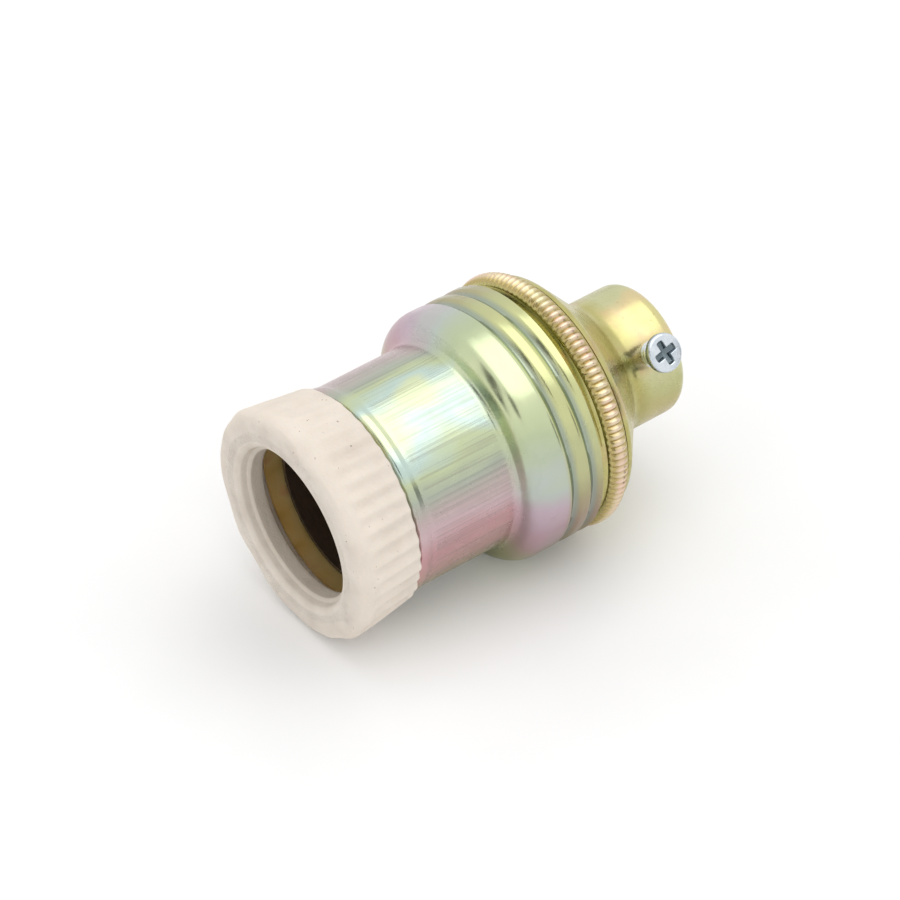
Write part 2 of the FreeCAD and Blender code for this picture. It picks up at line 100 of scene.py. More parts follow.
# %% Colour and node helpers
def linear(text):
    """A colour such as "E6DDD2" as linear red, green, blue and alpha."""
    parts = [int(text[i:i + 2], 16) / 255 for i in (0, 2, 4)]
    return [v / 12.92 if v <= 0.04045 else ((v + 0.055) / 1.055) ** 2.4 for v in parts] + [1.0]


def add(tree, kind, inputs=None, stops=None, **settings):
    """Adds a node and returns its first output in use. A hex text stands for a colour."""
    node = tree.nodes.new(kind)
    for name, value in settings.items():
        setattr(node, name, value)
    for place, value in (inputs or {}).items():
        socket = node.inputs[place]
        if isinstance(value, bpy.types.NodeSocket):
            tree.links.new(value, socket)
        else:
            socket.default_value = linear(value) if isinstance(value, str) else value
    for i, (place, colour) in enumerate(stops or []):
        elements = node.color_ramp.elements
        element = elements[i] if i < 2 else elements.new(place)
        element.position, element.color = place, linear(colour)
    return next((output for output in node.outputs if output.enabled), None)


def new_material(name, metallic, roughness):
    """A material, its tree and its Principled shader, with two constants on the shader itself."""
    material = bpy.data.materials.new(name)
    material.use_nodes = True
    tree = material.node_tree
    shader = tree.nodes["Principled BSDF"]
    shader.inputs["Metallic"].default_value = metallic
    shader.inputs["Roughness"].default_value = roughness
    return material, tree, shader


print("mid grey 808080 is", round(linear("808080")[0], 3), "in linear light")


# %% [markdown]
# Most of the holder is turned, pressed or rolled. A Screw modifier could sweep its outlines, and
# displacement could add the ribs, but neither gives a true helix with clean ends. So its pieces are
# lathed here: one outline is swept round the axis, and a function of radius, height and angle moves
# the points for ribs, knurls and threads. An outline is a list of corners, each with its radius,
# height and rounding in mm, as a press tool is drawn.

# %% Outline and lathe helpers
def rounded(corners, step=0.35, arc_step=0.12):
    """Points along (radius, height, rounding) corners, with a tangent arc at each rounded one."""
    points = [np.array(corners[0][:2], float)]
    for before, corner, after in zip(corners, corners[1:], corners[2:]):
        place = np.array(corner[:2], float)
        coming = place - np.array(before[:2], float)
        going = np.array(after[:2], float) - place
        coming /= np.linalg.norm(coming)
        going /= np.linalg.norm(going)
        turned_by = math.acos(float(np.clip(coming @ going, -1, 1)))
        rounding = corner[2]
        if rounding <= 0 or turned_by < 1e-4:
            points.append(place)
            continue
        tangent = rounding * math.tan(turned_by / 2)
        inward = (going - coming) / np.linalg.norm(going - coming)
        centre = place + inward * rounding / math.cos(turned_by / 2)
        start = place - coming * tangent - centre
        end = place + going * tangent - centre
        count = max(3, int(rounding * turned_by / arc_step))
        for i in range(count + 1):
            share = i / count
            spoke = start * math.sin((1 - share) * turned_by) + end * math.sin(share * turned_by)
            points.append(centre + spoke / math.sin(turned_by))
    points.append(np.array(corners[-1][:2], float))
    filled = [points[0]]
    for point in points[1:]:
        start = filled[-1]
        gap = np.linalg.norm(point - start)
        if gap < 1e-6:
            continue
        count = max(1, int(round(gap / step)))
        for i in range(1, count + 1):
            filled.append(start + (point - start) * i / count)
    return np.array(filled)


def pushed(points, distance):
    """An open outline moved to its left by a distance, as the other face of a sheet."""
    along = np.gradient(points, axis=0)
    along /= np.linalg.norm(along, axis=1)[:, None]
    left = np.stack([-along[:, 1], along[:, 0]], axis=1)
    return points + left * distance


def lathe(name, outline, segments, shape, sharp=40.0):
    """A closed mesh swept round Z from an outline in mm. shape(radius, height, angle) moves it."""
    angle = np.arange(segments) * 2 * math.pi / segments
    radius = np.repeat(outline[:, 0][:, None], segments, axis=1)
    height = np.repeat(outline[:, 1][:, None], segments, axis=1)
    angle = np.repeat(angle[None, :], len(outline), axis=0)
    radius, height = shape(radius, height, angle)
    places = [radius * np.cos(angle), radius * np.sin(angle), height]
    points = np.stack(places, axis=2).reshape(-1, 3) * MM
    row, column = np.meshgrid(np.arange(len(outline)), np.arange(segments), indexing="ij")
    next_row = (row + 1) % len(outline)
    next_column = (column + 1) % segments
    corners = [
        row * segments + column,
        row * segments + next_column,
        next_row * segments + next_column,
        next_row * segments + column,
    ]
    quads = np.stack(corners, axis=2).reshape(-1, 4)
    mesh = bpy.data.meshes.new(name)
    mesh.from_pydata(points.tolist(), [], quads.tolist())
    mesh.update()
    mesh.shade_smooth()
    mesh.set_sharp_from_angle(angle=math.radians(sharp))
    piece = bpy.data.objects.new(name, mesh)
    bpy.context.scene.collection.objects.link(piece)
    print(name, "lathed:", len(quads), "quads")
    return piece


def unevenness(angle, height, seed, terms, low, high):
    """Waves summed round the axis, low to high of them a turn, mostly between -1 and 1."""
    source = np.random.default_rng(seed)
    total = np.zeros_like(angle)
    for _ in range(terms):
        turns = source.integers(low, high)
        climb = source.uniform(-0.6, 0.6)
        total += np.sin(turns * angle + climb * height + source.uniform(0, 2 * math.pi))
    return total / math.sqrt(terms)


def smooth_step(low, high, value):
    """0 below low, 1 above high, and smooth between."""
    share = np.clip((value - low) / (high - low), 0, 1)
    return share * share * (3 - 2 * share)


# %% [markdown]
# The sizes that the dressed pieces need are read from the frame's boxes, so that they follow the
# solids. Only what a box can't say, such as a rounding or a rib, is named below in millimetres.

# %% Sizes from the frame
def half_width(node):
    """Half of a node's width across X, in mm."""
    low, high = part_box(node)
    return (high.x - low.x) / 2 / MM


def levels(node):
    """The lowest and highest level of a node, in mm."""
    low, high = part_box(node)
    return low.z / MM, high.z / MM


ring_rear = levels("porcelain_ring")[1]
shell_radius = half_width("shell")
collar_front, shell_rear = levels("shell")
cap_front, cap_rear = levels("cap")
bead_radius = half_width("cap")
print("shell", round(shell_radius, 2), "bead", round(bead_radius, 2), "cap rear", round(cap_rear, 2))


# %% [markdown]
# The ring is pressed from porcelain paste and fired without a glaze. Its side tapers towards the
# rear and has worn ribs for the fingers, its edges are soft, and nothing on it is quite round.
# Sculpting would give that too, but not the same result each run. The lathe with a ribbing function
# gives real ribs, and a sum of slow waves gives the uneven outline.

# %% Porcelain ring
RING_FRONT_RADIUS = 12.75
RING_REAR_RADIUS = 11.9
RING_BORE = 8.15
RING_LIP = 2.85
RING_THREAD_RADIUS = 9.6
RING_FACE_ROUNDING = 1.25
RING_REAR_ROUNDING = 0.55
RING_RIBS = 43
RIB_DEPTH = 0.4
RIB_SEGMENTS = 14
WORN_SHARE = 0.35
LUMP = 0.09


def ring_shape(radius, height, angle):
    """Ribs on the tapered side, worn down on one half, and the lumps of pressed porcelain."""
    side_radius = RING_FRONT_RADIUS + (RING_REAR_RADIUS - RING_FRONT_RADIUS) * height / ring_rear
    side = smooth_step(-0.9, -0.15, radius - side_radius)
    worn_edge = WORN_SHARE * smooth_step(ring_rear - 1.6, ring_rear, height)
    band = smooth_step(1.3, 2.8, height) * (1 - worn_edge)
    patches = unevenness(angle, height, seed=5, terms=5, low=1, high=4)
    wear = np.clip(0.5 + 0.45 * np.cos(angle - 0.1) + 0.2 * patches, 0.05, 1.0)
    groove = (0.5 - 0.5 * np.cos(RING_RIBS * angle)) ** 0.8
    lumps = np.maximum(0, 1 + unevenness(angle, height, seed=11, terms=14, low=3, high=19))
    radius = radius - side * (band * wear * RIB_DEPTH * groove + LUMP * lumps)
    face = 1 - smooth_step(0.0, 0.5, height)
    outer_edge = smooth_step(RING_FRONT_RADIUS - 2.2, RING_FRONT_RADIUS - 0.6, radius)
    waves = np.maximum(0, 1 + unevenness(angle, radius, seed=23, terms=8, low=4, high=14))
    height = height + face * outer_edge * LUMP * waves
    return radius, height


ring_outline = rounded([
    (RING_BORE, 1.9, 0),
    (RING_BORE, 1.2, 0.15),
    (RING_BORE + 0.4, 1.0, 0.12),
    (RING_BORE + 0.6, 0.4, 0.4),
    (RING_BORE + 1.2, 0.0, 0.5),
    (RING_FRONT_RADIUS, 0.0, RING_FACE_ROUNDING),
    (RING_REAR_RADIUS, ring_rear, RING_REAR_ROUNDING),
    (RING_THREAD_RADIUS, ring_rear, 0.2),
    (RING_THREAD_RADIUS, RING_LIP, 0.2),
    (RING_BORE, RING_LIP, 0.3),
    (RING_BORE, 1.95, 0),
], step=0.25)
ring = lathe("ring_porcelain", ring_outline, RING_RIBS * RIB_SEGMENTS, ring_shape)


# %% [markdown]
# The shell is drawn from thin sheet, so its inner face follows its outer face at one thickness.
# A Solidify modifier would do that as well, but here the outline itself is moved, and the rim stays
# square. The thread is rolled into the sheet: a helical groove outside that stands proud inside.
# The same helix is rolled into the cap's skirt, so one function serves both.

# %% Shell with its rolled thread
SHEET = 0.4
COLLAR_RADIUS = 9.4
SLEEVE_RADIUS = 11.25
SHOULDER_LEVEL = ring_rear + 0.1
SLEEVE_REAR = 20.1
SHOULDER_RISE = 0.95
BULGE_ROUNDING = 2.2
THREAD_PITCH = 2.4
THREAD_DEPTH = 0.5
THREAD_WIDTH = 1.5
THREAD_START = 24.0
THREAD_START_ANGLE = math.radians(135)
SHELL_SEGMENTS = 336


def thread_groove(height, angle, width):
    """How deep the rolled thread is at a place, from 0 to 1."""
    turns = ((angle - THREAD_START_ANGLE) % (2 * math.pi)) / (2 * math.pi)
    offset = height - (THREAD_START + THREAD_PITCH * turns)
    nearest = np.clip(np.round(offset / THREAD_PITCH), 0, None)
    offset = offset - nearest * THREAD_PITCH
    return np.where(np.abs(offset) < width / 2, np.cos(math.pi * offset / width) ** 2, 0.0)


def shell_shape(radius, height, angle):
    """The rolled thread on the wide part of the sheet."""
    threaded = smooth_step(shell_radius - 1.5, shell_radius - 1.0, radius)
    return radius - threaded * THREAD_DEPTH * thread_groove(height, angle, THREAD_WIDTH), height


shell_outside = rounded([
    (COLLAR_RADIUS, collar_front, 0),
    (COLLAR_RADIUS, SHOULDER_LEVEL, 0.4),
    (SLEEVE_RADIUS + 0.1, SHOULDER_LEVEL, 0.7),
    (SLEEVE_RADIUS + 0.1, SHOULDER_LEVEL + 1.0, 0.6),
    (SLEEVE_RADIUS - 0.05, SHOULDER_LEVEL + 1.6, 0.8),
    (SLEEVE_RADIUS, SLEEVE_REAR, 0.8),
    (shell_radius, SLEEVE_REAR + SHOULDER_RISE, BULGE_ROUNDING),
    (shell_radius, shell_rear, 0),
], step=0.24)
shell_inside = pushed(shell_outside, SHEET)
shell_outline = np.concatenate([shell_outside, shell_inside[::-1]])
shell = lathe("shell_sheet", shell_outline, SHELL_SEGMENTS, shell_shape)


# %% [markdown]
# The cap is one piece: a threaded skirt, a rope-knurled bead, a dome and a neck. The knurl could be
# a bump in the material, but it breaks the outline, so it gets real ribs, as a wheel presses them.
# The segments are a whole number for each rib, so that all ribs are alike. The male half of the
# thread lies under the shell's rim.

# %% Cap with its knurled bead
BEAD_HEIGHT = 2.6
BEAD_ARC_END = math.radians(80)
BEAD_ARC_POINTS = 17
BEAD_FRONT = shell_rear + 1.05
DOME_LEVEL = BEAD_FRONT + BEAD_HEIGHT + 0.5
NECK_RADIUS = 7.3
NECK_FRONT = 38.3
NECK_FILLET = 2.5
NECK_REAR_ROUNDING = 1.5
ENTRY_RADIUS = 4.46
ENTRY_CHAMFER = 0.5
CAP_WALL = 0.45
THREAD_CLEARANCE = 0.15
SKIRT_THREAD_WIDTH = THREAD_WIDTH + 0.2
KNURLS = 110
KNURL_SEGMENTS = 7
KNURL_DEPTH = 0.26
skirt_radius = shell_radius - SHEET - THREAD_CLEARANCE


def cap_shape(radius, height, angle):
    """The knurl on the bead and the rolled thread on the skirt."""
    crown = smooth_step(skirt_radius + 0.15, skirt_radius + 0.6, radius)
    rib = 0.5 - 0.5 * np.cos(KNURLS * angle)
    radius = radius - crown * KNURL_DEPTH * (1 - rib ** 0.6)
    skirt = 1 - smooth_step(BEAD_FRONT - 0.3, BEAD_FRONT, height)
    radius = radius - skirt * THREAD_DEPTH * thread_groove(height, angle, SKIRT_THREAD_WIDTH)
    return radius, height


roll = BEAD_HEIGHT / 2
bead_arc = [
    (bead_radius - roll + roll * math.cos(a), BEAD_FRONT + roll + roll * math.sin(a))
    for a in np.linspace(-BEAD_ARC_END, BEAD_ARC_END, BEAD_ARC_POINTS)
]
cap_skirt = rounded([(skirt_radius, cap_front, 0), (skirt_radius, BEAD_FRONT, 0)], step=0.3)
cap_dome = rounded([
    (skirt_radius, DOME_LEVEL - 0.45, 0),
    (skirt_radius, DOME_LEVEL, 1.0),
    (NECK_RADIUS, NECK_FRONT, NECK_FILLET),
    (NECK_RADIUS, cap_rear, NECK_REAR_ROUNDING),
    (ENTRY_RADIUS + ENTRY_CHAMFER, cap_rear, 0.1),
    (ENTRY_RADIUS, cap_rear - ENTRY_CHAMFER, 0.1),
    (ENTRY_RADIUS, NECK_FRONT + 1.9, 0),
], step=0.6, arc_step=0.25)
dome_slope = (NECK_FRONT - DOME_LEVEL) / (skirt_radius - NECK_RADIUS)
inner_dome_level = DOME_LEVEL - CAP_WALL * math.hypot(1, dome_slope)
cap_inside = rounded([
    (ENTRY_RADIUS, NECK_FRONT + 1.8, 0),
    (skirt_radius - CAP_WALL, inner_dome_level + CAP_WALL * dome_slope, 0.6),
    (skirt_radius - CAP_WALL, cap_front, 0),
], step=0.8)
cap_outline = np.concatenate([cap_skirt, np.array(bead_arc), cap_dome, cap_inside])
cap = lathe("cap_body", cap_outline, KNURLS * KNURL_SEGMENTS, cap_shape)


# %% [markdown]
# The set screw is a small machine screw with a pan head and a cross recess. Its shank shows between
# the head and the neck, with its fine thread. The recess could be cut with a Boolean, but a deep
# push on the lathed points keeps the mesh even. The screw is lathed upright on the axis and then
# laid on its side, in the direction in which the middle of its box lies in the frame.

# %% Set screw
SCREW_RADIUS = 1.45
SCREW_TIP = 4.6
HEAD_RADIUS = 2.05
HEAD_BACK = 9.3
HEAD_FACE = 10.05
CROSS_ARM = 0.36
CROSS_REACH = 1.3
CROSS_DEPTH = 0.75
CROSS_TURN = math.radians(12)
SCREW_PITCH = 0.5
SCREW_THREAD_DEPTH = 0.14
SCREW_SEGMENTS = 160


def screw_shape(radius, height, angle):
    """A fine thread on the shank and a cross pressed into the head."""
    shank = smooth_step(SCREW_TIP, SCREW_TIP + 0.4, height)
    shank = shank * (1 - smooth_step(HEAD_BACK - 0.2, HEAD_BACK - 0.05, height))
    shank = shank * smooth_step(SCREW_RADIUS - 0.25, SCREW_RADIUS - 0.15, radius)
    groove = 0.5 - 0.5 * np.cos(2 * math.pi * height / SCREW_PITCH - angle)
    radius = radius - SCREW_THREAD_DEPTH * shank * groove
    along = np.abs(radius * np.cos(angle - CROSS_TURN))
    across = np.abs(radius * np.sin(angle - CROSS_TURN))
    near = np.minimum(along, across)
    cross = 1 - smooth_step(CROSS_ARM - 0.08, CROSS_ARM + 0.08, near)
    cross = cross * (1 - smooth_step(CROSS_REACH - 0.15, CROSS_REACH + 0.1, radius))
    face = smooth_step(HEAD_FACE - 0.25, HEAD_FACE - 0.15, height)
    slope = 1 - 0.45 * radius / CROSS_REACH
    return radius, height - CROSS_DEPTH * cross * face * slope


screw_outline = rounded([
    (0.01, SCREW_TIP, 0),
    (SCREW_RADIUS - 0.25, SCREW_TIP, 0.05),
    (SCREW_RADIUS, SCREW_TIP + 0.3, 0.05),
    (SCREW_RADIUS, HEAD_BACK, 0.05),
    (HEAD_RADIUS, HEAD_BACK, 0.1),
    (HEAD_RADIUS, HEAD_FACE - 0.05, 0.35),
    (CROSS_REACH, HEAD_FACE, 0.3),
    (0.01, HEAD_FACE, 0),
], step=0.06, arc_step=0.06)
screw = lathe("set_screw_zinc", screw_outline, SCREW_SEGMENTS, screw_shape, sharp=50.0)
screw_low, screw_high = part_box("set_screw")
screw_level = (screw_low.z + screw_high.z) / 2
screw_angle = math.atan2(screw_low.y + screw_high.y, screw_low.x + screw_high.x)
lay = Matrix.Rotation(screw_angle, 4, "Z") @ Matrix.Rotation(math.pi / 2, 4, "Y")
screw.data.transform(Matrix.Translation((0, 0, screw_level)) @ lay)
print("set screw at", round(math.degrees(screw_angle), 1), "degrees")


# %% [markdown]
# The finishes below all ask the same questions of a point: how far round the axis it is, how high,
# and how far out. A UV map could say so too, but object coordinates need no unwrapping and stay
# with the holder. The angle is used only as a cosine, so that no seam shows where a full turn
# closes. A noise's scale is written as 1 over the real size of its clouds or grains in mm.

# %% Where a point is on the holder
def in_mm(tree):
    """A point's place on the holder in mm."""
    metres = add(tree, "ShaderNodeTexCoord").node.outputs["Object"]
    return add(tree, "ShaderNodeVectorMath", {0: metres, "Scale": 1 / MM}, operation="SCALE")


def round_axis(tree, place):
    """The part of a place across the axis, its height and its radius."""
    flat = add(tree, "ShaderNodeVectorMath", {0: place, 1: (1, 1, 0)}, operation="MULTIPLY")
    height = add(tree, "ShaderNodeSeparateXYZ", {0: place}).node.outputs["Z"]
    radius = add(tree, "ShaderNodeVectorMath", {0: flat}, operation="LENGTH")
    return flat, height, radius


def facing(tree, flat, degrees, drift, amount):
    """About 1 on the side of the axis at an angle and 0 on the side opposite, moved by drift."""
    a = math.radians(degrees)
    unit = add(tree, "ShaderNodeVectorMath", {0: flat}, operation="NORMALIZE")
    towards = (math.cos(a), math.sin(a), 0)
    cosine = add(tree, "ShaderNodeVectorMath", {0: unit, 1: towards}, operation="DOT_PRODUCT")
    half = add(tree, "ShaderNodeMath", {0: cosine, 1: 0.5, 2: 0.5}, operation="MULTIPLY_ADD")
    shift = add(tree, "ShaderNodeMath", {0: drift, 1: amount, 2: -amount / 2}, operation="MULTIPLY_ADD")
    return add(tree, "ShaderNodeMath", {0: half, 1: shift}, operation="ADD")


# %% [markdown]
# Unglazed porcelain, pressed and fired once, is a dry, matt body. It lets a little light in under
# its surface, has faint cream clouds, and picks up small dark specks in the kiln. The bore is
# painted greyer towards its wall, as painted shade inside the ring. The bump is the grain of the
# fired clay, with wider dents from the press. The real grain is finer, but it wouldn't show in the
# picture.

# %% Unglazed porcelain
CLAY_CLOUD = 3.57
KILN_SPECK = 0.385
PRESS_DENT = 1.67
CLAY_GRAIN = 0.222
RIM_FROM = 11.4
porcelain, tree, shader = new_material("unglazed_porcelain", 0.0, 0.85)
shader.inputs["Specular IOR Level"].default_value = 0.25
shader.inputs["Subsurface Weight"].default_value = 0.08
shader.inputs["Subsurface Radius"].default_value = (1.0, 0.7, 0.5)
shader.inputs["Subsurface Scale"].default_value = 0.6 * MM
place = in_mm(tree)
flat, height, radius = round_axis(tree, place)
clouds = add(tree, "ShaderNodeTexNoise", {"Vector": place, "Scale": 1 / CLAY_CLOUD, "Detail": 4.0})
clay = add(tree, "ShaderNodeValToRGB", {0: clouds},
           [(0.3, "D8CCC0"), (0.7, "E7DDD2"), (0.5, "E0D6CA")])
warm = add(tree, "ShaderNodeMapRange", {
    "Value": radius, "From Min": RIM_FROM, "From Max": RIM_FROM + 0.7, "To Max": 0.45,
})
clay = add(tree, "ShaderNodeMix", {0: warm, 6: clay, 7: "ECE1D3"}, data_type="RGBA")
# Painted shade: the bore is mixed towards grey, most at its wall, as shade inside the ring.
bore_shade = add(tree, "ShaderNodeMapRange", {
    "Value": radius, "From Min": RING_BORE + 0.1, "From Max": RING_BORE + 1.0,
    "To Min": 0.45, "To Max": 0.0,
})
clay = add(tree, "ShaderNodeMix", {0: bore_shade, 6: clay, 7: "B5AB9B"}, data_type="RGBA")
specks = add(tree, "ShaderNodeTexNoise", {"Vector": place, "Scale": 1 / KILN_SPECK, "Detail": 1.0})
dark = add(tree, "ShaderNodeMapRange", {
    "Value": specks, "From Min": 0.75, "From Max": 0.785, "To Max": 0.6,
})
clay = add(tree, "ShaderNodeMix", {0: dark, 6: clay, 7: "6E6152"}, data_type="RGBA")
tree.links.new(clay, shader.inputs["Base Color"])
dents = add(tree, "ShaderNodeTexNoise", {"Vector": place, "Scale": 1 / PRESS_DENT, "Detail": 3.0})
dented = add(tree, "ShaderNodeBump", {"Height": dents, "Distance": 0.2 * MM, "Strength": 0.8})
grain = add(tree, "ShaderNodeTexNoise", {"Vector": place, "Scale": 1 / CLAY_GRAIN, "Detail": 3.0})
grained = add(tree, "ShaderNodeBump", {
    "Height": grain, "Distance": 0.05 * MM, "Strength": 0.8, "Normal": dented,
})
tree.links.new(grained, shader.inputs["Normal"])
print("porcelain:", len(tree.nodes), "nodes")


# %% [markdown]
# The shell is zinc-plated steel with a yellow passivation, a film so thin that it shows colours
# of interference: pink, grey, mint and yellow-green, which change slowly with its thickness. A
# thin-film setting on the shader would spread them evenly. Here the colour follows the angle
# round the axis, with a slow drift, and mixes the film's colours with painted light: the palest
# stops face the overhead lamp, as a painted highlight, and the duller grey and pink stops are a
# painted reflection of the darker surroundings and the shaded floor. The sleeve, the bulge and
# the rolled ridges have a ramp each.

# %% Passivated shell: the film's colours with painted highlight and reflection
FILM_DRIFT = 5.56
SLEEVE_SHEEN_ANGLE = -66
BULGE_SHEEN_ANGLE = -57
BROWN_CLOUD = 4.17
shell_finish, tree, shader = new_material("yellow_passivated_zinc_shell", 1.0, 0.25)
place = in_mm(tree)
flat, height, radius = round_axis(tree, place)
slow = add(tree, "ShaderNodeVectorMath", {0: place, 1: (1, 1, 0.6)}, operation="MULTIPLY")
drift = add(tree, "ShaderNodeTexNoise", {"Vector": slow, "Scale": 1 / FILM_DRIFT, "Detail": 2.0})

sleeve_side = facing(tree, flat, SLEEVE_SHEEN_ANGLE, drift, 0.16)
# Film colours plus painted light: the palest stops, near 1, are a painted highlight of the lamp.
film_and_sheen = add(tree, "ShaderNodeValToRGB", {0: sleeve_side}, [
    (0.0, "B5AFAD"), (1.0, "D6DFB8"), (0.3, "BDBB92"), (0.5, "CEA8A2"), (0.66, "C99EA2"),
    (0.75, "CDB3B7"), (0.83, "BFAFAC"), (0.9, "B1B8A9"), (0.95, "C6D0A8"), (0.98, "C2D6CE"),
])
bulge_side = facing(tree, flat, BULGE_SHEEN_ANGLE, drift, 0.2)
# The bulge's ramp: film colours, with a painted highlight at its palest stops, near 1.
bulge_film_and_sheen = add(tree, "ShaderNodeValToRGB", {0: bulge_side}, [
    (0.0, "ADB59E"), (1.0, "CFD8AE"), (0.3, "BABA90"), (0.5, "BFA2A4"), (0.64, "C0A3AE"),
    (0.73, "C4B1BC"), (0.82, "BCC4BC"), (0.92, "BDC9A4"),
])
on_bulge = add(tree, "ShaderNodeMapRange", {
    "Value": height, "From Min": SLEEVE_REAR - 0.9, "From Max": SLEEVE_REAR + 0.6,
})
film_and_sheen = add(tree, "ShaderNodeMix", {0: on_bulge, 6: film_and_sheen, 7: bulge_film_and_sheen}, data_type="RGBA")
# The ridges' ramp: film colours, with a painted highlight at its palest stops, near 1.
ridge_film_and_sheen = add(tree, "ShaderNodeValToRGB", {0: bulge_side}, [
    (0.0, "A29E6E"), (1.0, "CDD098"), (0.4, "A39773"), (0.6, "AB9585"), (0.75, "AFA985"),
    (0.88, "C0C394"),
])
on_ridges = add(tree, "ShaderNodeMapRange", {
    "Value": height, "From Min": THREAD_START + 0.4, "From Max": THREAD_START + 1.0,
})
film_and_sheen = add(tree, "ShaderNodeMix", {0: on_ridges, 6: film_and_sheen, 7: ridge_film_and_sheen}, data_type="RGBA")

# The floor of the rolled groove, where hardly any film is left, is mixed towards a darker
# greenish grey: partly that bare tone, partly painted shade in the groove.
sunk = add(tree, "ShaderNodeMapRange", {
    "Value": radius,
    "From Min": shell_radius - THREAD_DEPTH + 0.08, "From Max": shell_radius - 0.1,
    "To Min": 0.7, "To Max": 0.0,
})
rolled = add(tree, "ShaderNodeMapRange", {
    "Value": height, "From Min": THREAD_START - 0.6, "From Max": THREAD_START,
})
groove_tone_and_shade = add(tree, "ShaderNodeMath", {0: sunk, 1: rolled}, operation="MULTIPLY")
film_and_sheen = add(tree, "ShaderNodeMix", {0: groove_tone_and_shade, 6: film_and_sheen, 7: "95A39E"}, data_type="RGBA")

# Inside the collar the liquid stayed longest, which left it gold with brown clouds. The gold is
# painted pale and bright, as painted light in place of the light that comes in through the ring.
inner_clouds = add(tree, "ShaderNodeTexNoise",
                   {"Vector": place, "Scale": 1 / BROWN_CLOUD, "Detail": 2.0})
gold_with_painted_light = add(tree, "ShaderNodeValToRGB", {0: inner_clouds},
           [(0.3, "E0C070"), (0.75, "F4B888"), (0.45, "F6D88C"), (0.6, "FAE09C")])
inside = add(tree, "ShaderNodeMapRange", {
    "Value": radius, "From Min": COLLAR_RADIUS - 0.12, "From Max": COLLAR_RADIUS + 0.1,
})
film_and_sheen = add(tree, "ShaderNodeMix", {0: inside, 6: gold_with_painted_light, 7: film_and_sheen}, data_type="RGBA")
print("shell film:", len(tree.nodes), "nodes")


# %% [markdown]
# The drawing die left fine lines along the sleeve, about a quarter of a millimetre apart. They are
# the same noise stretched along the axis, used three times: they darken the film, roughen the
# gloss and scratch the bump. Elsewhere the plating is smooth, with a faint orange peel.

# %% Passivated shell: draw lines, gloss and bump
DRAW_LINE = 0.238
LINE_STRETCH = 0.012
HANDLING_BLOTCH = 1.43
PLATING_GRAIN = 0.556
along = (1, 1, LINE_STRETCH)
drawn_along = add(tree, "ShaderNodeVectorMath", {0: place, 1: along}, operation="MULTIPLY")
lines = add(tree, "ShaderNodeTexNoise",
            {"Vector": drawn_along, "Scale": 1 / DRAW_LINE, "Detail": 2.0})
off_bulge = add(tree, "ShaderNodeMapRange", {
    "Value": height, "From Min": SLEEVE_REAR - 0.6, "From Max": SLEEVE_REAR + 0.4,
    "To Min": 1.0, "To Max": 0.0,
})
off_shoulder = add(tree, "ShaderNodeMapRange", {
    "Value": height, "From Min": SHOULDER_LEVEL + 0.9, "From Max": SHOULDER_LEVEL + 2.2,
})
on_sleeve = add(tree, "ShaderNodeMath", {0: off_bulge, 1: off_shoulder}, operation="MULTIPLY")
drawn = add(tree, "ShaderNodeMath", {0: lines, 1: on_sleeve}, operation="MULTIPLY")
line_shade = add(tree, "ShaderNodeMapRange", {
    "Value": drawn, "From Min": 0.46, "From Max": 0.66, "To Max": 0.34,
})
film_and_sheen = add(tree, "ShaderNodeMix", {0: line_shade, 6: film_and_sheen, 7: "8E8C84"}, data_type="RGBA")
tree.links.new(film_and_sheen, shader.inputs["Base Color"])

blotches = add(tree, "ShaderNodeTexNoise",
               {"Vector": place, "Scale": 1 / HANDLING_BLOTCH, "Detail": 3.0})
gloss = add(tree, "ShaderNodeMapRange", {
    "Value": blotches, "From Min": 0.3, "From Max": 0.7, "To Min": 0.18, "To Max": 0.28,
})
gloss = add(tree, "ShaderNodeMath", {0: on_sleeve, 1: 0.06, 2: gloss}, operation="MULTIPLY_ADD")
gloss = add(tree, "ShaderNodeMix", {0: inside, 2: 0.4, 3: gloss}, data_type="FLOAT")
tree.links.new(gloss, shader.inputs["Roughness"])
dull_inside = add(tree, "ShaderNodeMapRange", {"Value": inside, "To Min": 0.72, "To Max": 1.0})
tree.links.new(dull_inside, shader.inputs["Metallic"])
scored = add(tree, "ShaderNodeBump", {"Height": drawn, "Distance": 0.022 * MM, "Strength": 1.0})
orange_peel = add(tree, "ShaderNodeTexNoise",
                  {"Vector": place, "Scale": 1 / PLATING_GRAIN, "Detail": 3.0})
peeled = add(tree, "ShaderNodeBump", {
    "Height": orange_peel, "Distance": 0.006 * MM, "Strength": 0.5, "Normal": scored,
})
tree.links.new(peeled, shader.inputs["Normal"])
print("shell finish:", len(tree.nodes), "nodes")


# %% [markdown]
# The cap has the same plating with a thicker film, so it is more golden: olive and yellow-green.
# The crests of the knurl are painted pale copper, the film's pink with a painted highlight, and the
# grooves between them a darker gold, as painted shade. The yellow and peach patch on the neck by
# the screw is film colour whose palest stops are a painted highlight of the overhead lamp. The
# crests are found by their radius, which needs no paint mask and follows the knurl by itself.

